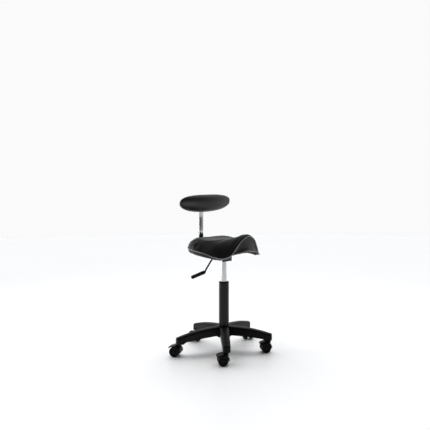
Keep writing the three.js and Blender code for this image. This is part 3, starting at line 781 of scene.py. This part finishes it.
def leg_foot(r):
    """The height of a leg's lower edge, which steps down to the caster's boss."""
    if r > BOSS_START:
        return BOSS_FOOT
    if r > ARCH_END:
        return mix(BOSS_FOOT + 4, BOSS_FOOT, (r - ARCH_END) / (BOSS_START - ARCH_END))
    t = share_before(lambda share: bezier(ARCH_END, 110, 0, share) > r)
    return bezier(BOSS_FOOT + 4, 75, 76, t)


def leg_half_width(r):
    return mix(23.5, 17.5, r / LEG_TIP)


def leg_section(r):
    """A leg's cross-section: up one rounded side, over the crowned back and down the other."""
    half, top, foot = leg_half_width(r), leg_top(r), leg_foot(r)
    radius = min(7.5, half * 0.45)
    crown = 1.6
    points = [(-half, foot + 1.2), (-half + 0.5, top - radius * 1.2)]
    for i in range(7):
        a = math.pi / 2 * i / 6
        points.append((-half + radius - (radius - 0.7) * math.cos(a),
                       top - crown - radius * (1 - math.sin(a))))
    points.append((-half * 0.4, top - 0.35))
    points.append((0, top))
    right = [(-x, z) for x, z in reversed(points[:-1])]
    return points + right


def leg_rings():
    """The leg's sections from the hub outwards, closing round its tip."""
    places = [28, 38, 50, 64, 80, 96, 112, 128, 144, 160, 176, 190, 200, 206, 211, 218, 225, 230]
    rings = []
    for r in places:
        outer = [Vector((r, x, z)) for x, z in leg_section(r)]
        hollow = HOLLOW_START < r < HOLLOW_END
        wall = 4 if hollow else 0.3
        lid = leg_top(r) - 5 if hollow else leg_foot(r) + 0.4
        half = leg_half_width(r) - wall
        foot = leg_foot(r)
        inner = [Vector((r, half, foot + 1.2 if hollow else foot)), Vector((r, half - 1.2, lid - 3)),
                 Vector((r, half - 4, lid)), Vector((r, -half + 4, lid)),
                 Vector((r, -half + 1.2, lid - 3)), Vector((r, -half, foot + 1.2 if hollow else foot))]
        rings.append(outer + inner)
    tip = rings[-1]
    for k in range(1, 7):
        a = math.pi / 2 * k / 6
        reach, narrow = 12 * math.sin(a), 1 - math.cos(a)
        ring = []
        for point in tip:
            pull = 8 * narrow
            y = point.y
            if abs(y) > 6:
                y -= math.copysign(min(pull, abs(y)), y)
            z = point.z - 4.5 * narrow * smoothstep(point.z, 70, 84)
            ring.append(Vector((230 + reach, y, z)))
        rings.append(ring)
    return rings


def stiffener(r):
    """A cross rib inside a leg's hollow."""
    half, top, low = leg_half_width(r) - 3.5, leg_top(r) - 4.5, leg_foot(r) + 5
    corners = [(-half, low), (half, low), (half, top), (-half, top)]
    return [[Vector((r + side, x, z)) for x, z in corners] for side in (-1.2, 1.2)]


def make_base():
    points, faces = [], []

    def add(rings, ends, turn):
        made, sides = skin(rings, ends)
        start = len(points)
        points.extend(on_stool(*(Matrix.Rotation(turn, 3, "Z") @ p)) for p in made)
        faces.extend([start + i for i in face] for face in sides)

    rings = leg_rings()
    for k in range(LEGS):
        turn = FIRST_LEG + k * TURN / LEGS
        add(rings, "flat", turn)
        for r in (70, 95, 120, 146, 170):
            add(stiffener(r), "flat", turn)
    star = piece_from("star_legs", points, faces)
    finish_piece(star, "base", "nylon", sharp=34, replaces=("star_base",))

    hub = turned("base_hub", eased([
        (28.2, 66), (HUB_RADIUS - 2, 66), (HUB_RADIUS, 69), (HUB_RADIUS, HUB_TOP - 3, 6),
        (HUB_RADIUS - 4, HUB_TOP + 1.4), (30.5, HUB_TOP + 1.4), (28.2, HUB_TOP - 1.5), (28.2, 66),
    ], 1.5), 96)
    finish_piece(shifted(hub), "base", "nylon")


make_base()

# ---------------------------------------------------------------- casters

NODE_SLOTS = {entry["node"]: entry["material_slot"] for entry in frame["record"]["subparts"]}


HOOD_OUTER, HOOD_INNER, HOOD_HALF_WIDTH = 29.6, 26.2, 27.5


def in_caster(k):
    """The matrix from a caster's own frame, its stem on Z and its wheels towards +X."""
    leg = FIRST_LEG + k * TURN / LEGS
    stem = on_stool(STEM_RADIUS * math.cos(leg), STEM_RADIUS * math.sin(leg), 0)
    return Matrix.Translation(stem) @ Matrix.Rotation(math.radians(CASTER_HEADINGS[k]), 4, "Z")


def hood_rings():
    """A caster's hood across its width: a shell over both wheels that runs out into a thin visor."""
    sweep = [math.radians(mix(186, 74, i / 18)) for i in range(19)]
    rings = []
    for j in range(17):
        across = mix(-1, 1, j / 16)
        y = HOOD_HALF_WIDTH * across
        round_off = 1 - 0.09 * abs(across) ** 5
        outer = HOOD_OUTER * round_off
        upper = [Vector((outer * math.cos(a), y, outer * math.sin(a))) for a in sweep]
        lower = [Vector((HOOD_INNER * math.cos(a), y, HOOD_INNER * math.sin(a))) for a in sweep]
        start, crest = upper[-1], lower[-1]
        reach = VISOR_REACH - 5 * abs(across) ** 3
        for i in range(1, 8):
            share = i / 7
            x, fall = mix(start.x, reach, share), 7.0 * share ** 1.6
            thin = mix(start.z - crest.z, 1.6, share)
            upper.append(Vector((x, y, start.z - fall)))
            lower.append(Vector((x, y, start.z - fall - thin)))
        hub = Vector((CASTER_TRAIL, 0, WHEEL_RADIUS))
        rings.append([hub + p for p in upper] + [hub + p for p in reversed(lower)])
    return rings


def web_rings():
    """The web between the wheels, from its foot at the axle up into the hood."""
    side = [(CASTER_TRAIL - 30, 26), (-5, 46), (2, 50), (CASTER_TRAIL - 6, 52.5), (CASTER_TRAIL + 8, 52),
            (38, 47), (36, 36), (CASTER_TRAIL + 9, WHEEL_RADIUS)]
    side += [(CASTER_TRAIL + 8 * math.cos(a), WHEEL_RADIUS + 8 * math.sin(a))
             for a in (-math.pi * i / 8 for i in range(1, 8))]
    side += [(CASTER_TRAIL - 9, WHEEL_RADIUS), (4, 31), (-2, 30)]
    middle = Vector((CASTER_TRAIL - 4, 0, 40))
    rings = []
    for y, scale in ((-7.5, 0.96), (-7.1, 1), (7.1, 1), (7.5, 0.96)):
        rings.append([middle + (Vector((x, 0, z)) - middle) * scale + Vector((0, y, 0))
                      for x, z in side])
    return rings


def wheel_profile():
    """Half of a wheel from its inner face outwards: tyre shoulders, dished face, hub cap."""
    return eased([
        (3.4, 0), (20, 0), (22.6, 0.3), (WHEEL_RADIUS, 2.2), (WHEEL_RADIUS, 13.6), (22.4, 16.6),
        (20.4, 16.9), (18.8, 16.2), (17.6, 13.9), (10, 13.3), (8.4, 15.2), (5, 15.9), (0, 16.1),
    ], 1.3, 3)


def make_wheel(name, matrix, sign):
    wheel = turned(name, [(0, 1.2), (3.4, 1.2)] + wheel_profile(), 72)
    shape = bmesh.new()
    shape.from_mesh(wheel.data)
    for vertex in shape.verts:
        radius = math.hypot(vertex.co.x, vertex.co.y) / MM
        if 10.6 < radius < 17.2 and vertex.co.z > 12.5 * MM:
            angle = math.atan2(vertex.co.y, vertex.co.x)
            dent = smoothstep(math.cos(5 * angle), -0.2, 0.3)
            vertex.co.z -= 2.6 * MM * dent
    shape.to_mesh(wheel.data)
    shape.free()
    place = Matrix.Translation(Vector((CASTER_TRAIL, sign * WHEEL_INNER, WHEEL_RADIUS)) * MM)
    return moved(wheel, matrix @ place @ Matrix.Rotation(-sign * math.pi / 2, 4, "X"))


def make_caster(k):
    name = f"caster_{k + 1}"
    matrix = in_caster(k)
    scale = Matrix.Scale(MM, 4)
    hood = piece_from(f"{name}_hood", *skin(hood_rings(), "flat"), merge=1e-4)
    moved(hood, matrix @ scale)
    finish_piece(hood, name, "caster_plastic", sharp=40, replaces=(f"{name}_housing",))
    web = piece_from(f"{name}_web", *skin(web_rings(), "flat"), merge=1e-4)
    moved(web, matrix @ scale)
    finish_piece(web, name, "caster_plastic", sharp=40)
    boss = turned(f"{name}_boss", eased([
        (5.8, 30), (8, 30), (8.5, 31), (8.5, 52, 0), (8.5, 56.5), (5.8, 56.5), (5.8, 30),
    ], 0.8, 3), 40)
    finish_piece(moved(boss, matrix), name, "caster_plastic")
    for side, sign in (("left", 1), ("right", -1)):
        wheel = make_wheel(f"{name}_rim_{side}", matrix, sign)
        finish_piece(wheel, f"{name}_{side}", "wheel_plastic", sharp=50,
                     replaces=(f"{name}_wheel_{side}",))


for k in range(LEGS):
    make_caster(k)

# ---------------------------------------------------------------- column and gas lift

column = turned("column_shell", eased([
    (6.5, 62), (23.8, 62), (24.2, 62.4), (25, 118, 0.5), (25, 333.6), (24.4, 335), (23.4, 335),
    (23.4, 65), (6.5, 65), (6.5, 62),
], 0.6, 4), 96)
finish_piece(shifted(column), "base", "powder_coat", replaces=("column_tube",))

collar = turned("column_collar", eased([
    (14.3, 258), (23.1, 258), (23.1, 335.3, 0), (25.5, 335.3, 0), (25.5, 336.4), (24.9, 338.4, 2),
    (17.5, 339), (14.6, 337.6), (14.3, 258),
], 0.8, 4), 96)
finish_piece(shifted(collar), "base", "acetal", replaces=("guide_bush",))

cylinder = turned("lift_cylinder", eased([
    (12, 175), (13, 175), (14, 176.6), (14, 446, 0), (13.3, 464), (4.3, 464), (4.3, 430),
    (12, 430), (12, 175),
], 0.8, 4), 96)
finish_piece(shifted(cylinder), "seat", "chrome", replaces=("gas_cylinder",))

# ---------------------------------------------------------------- release lever

LEVER_Z = 472.8
GRIP_START, GRIP_END = Vector((-138, 0, 401)), Vector((-222, 0, 386))


def centripetal(places, per_span=8):
    """A smooth path through places, with the same easing as a bent rod."""
    ends = [places[0] * 2 - places[1]] + list(places) + [places[-1] * 2 - places[-2]]
    path = []
    for k in range(1, len(ends) - 2):
        p = ends[k - 1:k + 3]
        knots = [0.0]
        for a, b in zip(p, p[1:]):
            knots.append(knots[-1] + math.sqrt((b - a).length))
        for i in range(per_span):
            t = mix(knots[1], knots[2], i / per_span)
            first = [p[j] + (p[j + 1] - p[j]) * ((t - knots[j]) / (knots[j + 1] - knots[j]))
                     for j in range(3)]
            second = [first[j] + (first[j + 1] - first[j]) * ((t - knots[j]) / (knots[j + 2] - knots[j]))
                      for j in range(2)]
            path.append(second[0] + (second[1] - second[0]) * ((t - knots[1]) / (knots[2] - knots[1])))
    return path + [places[-1]]


def make_lever():
    core = [GRIP_START + (GRIP_END - GRIP_START) * share for share in (-0.04, 0.1, 0.5, 0.85)]
    places = [Vector((x, 0, z)) for x, z in (
        (2, LEVER_Z), (-24, LEVER_Z), (-50, LEVER_Z - 2.2), (-67, LEVER_Z - 6), (-85, 457), (-116, 425),
        (-129, 410.5),
    )] + core
    rod = tube_along("lever_bar", [on_stool(*p) for p in centripetal(places)], 4 * MM, 20)
    finish_piece(rod, "lever", "powder_coat", replaces=("lever_rod",))

    profile = [(0, 76), (4.6, 76), (4.6, 0.4), (5.2, 0), (7.2, 0), (8.3, 1.2), (8.5, 3.4), (8.5, 8)]
    for rib in range(9):
        at = 10 + rib * 7.2
        profile += [(8.5, at), (7.2, at + 1), (7.2, at + 2.6), (8.5, at + 3.6), (8.5, at + 6.2)]
    profile += [(8.5, 78), (7.6, 81.6), (5.4, 83.6), (2.6, 84.2), (0, 84.4)]
    grip = turned("lever_handle", eased(profile, 0.6, 2), 48)
    aim = (GRIP_END - GRIP_START).to_track_quat("Z", "Y").to_matrix().to_4x4()
    moved(grip, Matrix.Translation(on_stool(*GRIP_START)) @ aim)
    finish_piece(grip, "lever", "grip_plastic", sharp=50, replaces=("lever_grip",))


make_lever()

# ---------------------------------------------------------------- back support

BAR_Y = 158.7
TUBE_WIDTH, TUBE_THICKNESS = 27.4, 11.2
TUBE_FOOT, TUBE_BEND, TUBE_TOP = 568, 658, 718
TUBE_LEAN = math.radians(3)
TUBE_BORE = 40  # how deep the tube is open from its foot


def stadium(width, thickness, steps=12):
    """A flat section with full round ends."""
    radius, reach = thickness / 2, (width - thickness) / 2
    right = [(reach + radius * math.cos(a), radius * math.sin(a))
             for a in (math.pi * (i / steps - 0.5) for i in range(steps + 1))]
    return right + [(-x, -y) for x, y in right]


def make_back_sleeve():
    """The chromed flat tube, open at its foot, bent a little forward, its head closed."""
    section = stadium(TUBE_WIDTH, TUBE_THICKNESS)
    opening = [(x * 24.9 / TUBE_WIDTH, y * 8.9 / TUBE_THICKNESS) for x, y in section]
    bend_run = 12.0

    def ring(z, outline, grow=1.0):
        over = max(z - (TUBE_BEND - bend_run), 0)
        turned_by = TUBE_LEAN * min(over / (2 * bend_run), 1)
        if over < 2 * bend_run:
            shift = over * over / (4 * bend_run) * math.tan(TUBE_LEAN)
        else:
            shift = (over - bend_run) * math.tan(TUBE_LEAN)
        return [on_stool(x * grow, BAR_Y - shift + y * grow * math.cos(turned_by),
                         z + y * math.sin(turned_by)) for x, y in outline]

    bends = [TUBE_BEND + d for d in (-14, -10, -6, -2, 2, 6, 10, 14)]
    rings = [ring(TUBE_FOOT + TUBE_BORE, opening), ring(TUBE_FOOT + 0.8, opening),
             ring(TUBE_FOOT, opening, 1.03),
             ring(TUBE_FOOT, section, 0.965), ring(TUBE_FOOT + 0.9, section)]
    rings += [ring(z, section) for z in (590, 620, *bends, 690, TUBE_TOP - 3.4)]
    rings += [ring(TUBE_TOP - 3.4 + 3 * math.sin(a), section, 1 - 0.22 * (1 - math.cos(a)))
              for a in (math.pi / 2 * i / 6 for i in range(1, 7))]
    sleeve = piece_from("back_sleeve", *skin(rings, "flat"))
    finish_piece(sleeve, "back_slide", "chrome", replaces=("back_tube",))


def make_clamp_knob():
    """The hidden clamp screw's lobed knob, behind the tube."""
    face = BAR_Y + TUBE_THICKNESS / 2 + 0.3
    knob = turned("clamp_knob", [(0, 0)] + eased([
        (2.5, 0), (2.5, 1.4), (2.5, face - 163), (7.4, face - 163, 0.4), (9, face - 162, 0.8),
        (9, face - 158.4, 1.2), (7.6, face - 157.2, 1), (3, face - 157.2, 0.5),
        (2.4, face - 157.8), (0, face - 157.8),
    ], 0.3, 3), 60)
    for vertex in knob.data.vertices:
        radius = math.hypot(vertex.co.x, vertex.co.y)
        if radius > 7 * MM:
            lobes = 0.5 + 0.5 * math.cos(6 * math.atan2(vertex.co.y, vertex.co.x))
            vertex.co.x *= 1 - 0.09 * lobes
            vertex.co.y *= 1 - 0.09 * lobes
    turn = Matrix.Rotation(-math.pi / 2, 4, "X")
    moved(knob, Matrix.Translation(on_stool(0, 163, 580)) @ turn)
    finish_piece(knob, "back_slide", "acetal", replaces=("clamp_screw",))


make_back_sleeve()
make_clamp_knob()
bevelled("back_arm", 1.6, "seat", "powder_coat", 3, 40)
bevelled("mechanism_housing", 1.2, "seat", "powder_coat", 2, 50)
bevelled("mounting_plate", 0.8, "seat", "powder_coat", 2, 50)
bevelled("pad_bracket", 0.7, "backrest", "powder_coat", 2, 50)
bevelled("pad_board", 1.2, "backrest", "board", 2, 40)

for node, piece in frame["nodes"].items():
    piece.data.materials.clear()
    piece.data.materials.append(SLOT_FINISHES[NODE_SLOTS[node]])

# ---------------------------------------------------------------- floor, light and camera


def plain_surface(name, colour, rough):
    made = Finish(name, Specular_IOR_Level=0.12)
    cloud = made.noise(0.8, 2)
    base = made.colour(cloud, colour, tuple(c * 0.97 for c in colour))
    return made.feed(Base_Color=base, Roughness=rough + 0.05 * cloud)


def make_floor(radius=9.0, steps=96):
    points = [Vector((radius * math.cos(a), radius * math.sin(a), 0))
              for a in (TURN * i / steps for i in range(steps))]
    floor = piece_from("studio_floor", points, [list(range(steps))])
    floor.data.materials.append(plain_surface("pale_floor", (0.86, 0.862, 0.865), 0.32))
    return floor


def shine_only_on(lamp, subjects):
    lit = bpy.data.collections.new(f"{lamp.name}_subjects")
    for subject in subjects:
        lit.objects.link(subject)
    lamp.light_linking.receiver_collection = lit


def softbox(name, azimuth, height, distance, width, tall, power, aim=(0, 0, 0.45), only=()):
    """A rectangular studio light round the stool. It lights all of it, or only some pieces."""
    light = bpy.data.lights.new(name, "AREA")
    light.shape = "RECTANGLE"
    light.size, light.size_y = width, tall
    light.energy = power
    lamp = bpy.data.objects.new(name, light)
    bpy.context.scene.collection.objects.link(lamp)
    angle = math.radians(270 + azimuth)
    lamp.location = (distance * math.cos(angle), distance * math.sin(angle), height)
    lamp.rotation_euler = (Vector(aim) - lamp.location).to_track_quat("-Z", "Y").to_euler()
    lamp.visible_camera = False
    if only:
        shine_only_on(lamp, only)


def make_sky(seen, behind, before, above):
    """White walls all round to the eye. Their light is strong behind the stool and weak before it."""
    world = bpy.data.worlds.new("studio")
    world.use_nodes = True
    work = NodeWork(world.node_tree)
    place = work.node("ShaderNodeTexCoord", {}, {}, "Generated")

    def light_from(aim, least, most):
        facing = work.node("ShaderNodeVectorMath", {"operation": "DOT_PRODUCT"},
                           {0: place, 1: aim}, "Value")
        limits = {"Value": facing, "From Min": -0.15, "From Max": 0.75, "To Min": least, "To Max": most}
        return work.node("ShaderNodeMapRange", {"interpolation_type": "SMOOTHSTEP"}, limits, "Result")

    heading = math.radians(VIEW_AZIMUTH)
    strength = (light_from((-math.sin(heading), math.cos(heading), 0), before, behind)
                + light_from((0, 0, 1), 0.0, above))
    cool_white = (0.97, 0.98, 1.0, 1)
    lighting = work.node("ShaderNodeBackground", {}, {"Color": cool_white, "Strength": strength})
    wall = work.node("ShaderNodeBackground", {}, {"Color": (1, 1, 1, 1), "Strength": seen})
    looked_at = work.node("ShaderNodeLightPath", {}, {}, "Is Camera Ray")
    sky = work.node("ShaderNodeMixShader", {}, {0: looked_at, 1: lighting, 2: wall})
    work.tree.links.new(sky.socket, work.tree.nodes["World Output"].inputs["Surface"])
    bpy.context.scene.world = world
    bpy.context.scene.view_settings.view_transform = "Standard"


def floor_wash(floor, strength, tilt, azimuth, spread):
    """Even light from above on the floor alone. The stool still shades the floor."""
    light = bpy.data.lights.new("floor_wash", "SUN")
    light.energy = strength
    light.angle = math.radians(spread)
    lamp = bpy.data.objects.new("floor_wash", light)
    bpy.context.scene.collection.objects.link(lamp)
    shine_only_on(lamp, (floor,))
    lean, round_by = math.radians(tilt), math.radians(270 + azimuth)
    toward = Vector((math.cos(round_by) * math.sin(lean),
                     math.sin(round_by) * math.sin(lean), math.cos(lean)))
    lamp.rotation_euler = toward.to_track_quat("Z", "Y").to_euler()


VIEW_AZIMUTH = -53.83  # the camera's own heading, level
CAMERA_REACH = 2.34  # from the column's axis to the lens, along the heading
CAMERA_ASIDE = 0.239  # the lens stands this far to the right of the column
CAMERA_HEIGHT = 0.7276
CAMERA_LENS = 39.18
CAMERA_SHIFT = (-0.1319, -0.0265)  # the frame is a part of a wider view


def make_camera():
    data = bpy.data.cameras.new("studio_camera")
    data.lens = CAMERA_LENS
    data.shift_x, data.shift_y = CAMERA_SHIFT
    camera = bpy.data.objects.new("studio_camera", data)
    bpy.context.scene.collection.objects.link(camera)
    heading = math.radians(VIEW_AZIMUTH)
    aside = Vector((math.cos(heading), math.sin(heading), 0))
    back = Vector((math.sin(heading), -math.cos(heading), 0))
    camera.location = (COLUMN_AXIS + aside * CAMERA_ASIDE + back * CAMERA_REACH
                       + Vector((0, 0, CAMERA_HEIGHT)))
    camera.rotation_euler = (math.radians(90), 0, heading)
    bpy.context.scene.camera = camera


floor = make_floor()
make_sky(0.96, 0.9, 0.03, 0.1)
floor_wash(floor, 2.6, 22, 140, 70)
softbox("pad_box", 4, 0.26, 1.7, 0.55, 0.3, 10, (0, 0, 0.7), (back_pad,))
softbox("left_strip", -150, 0.9, 2.2, 0.3, 1.8, 14)
softbox("right_strip", 66, 0.9, 2.2, 0.2, 1.8, 4)
make_camera()
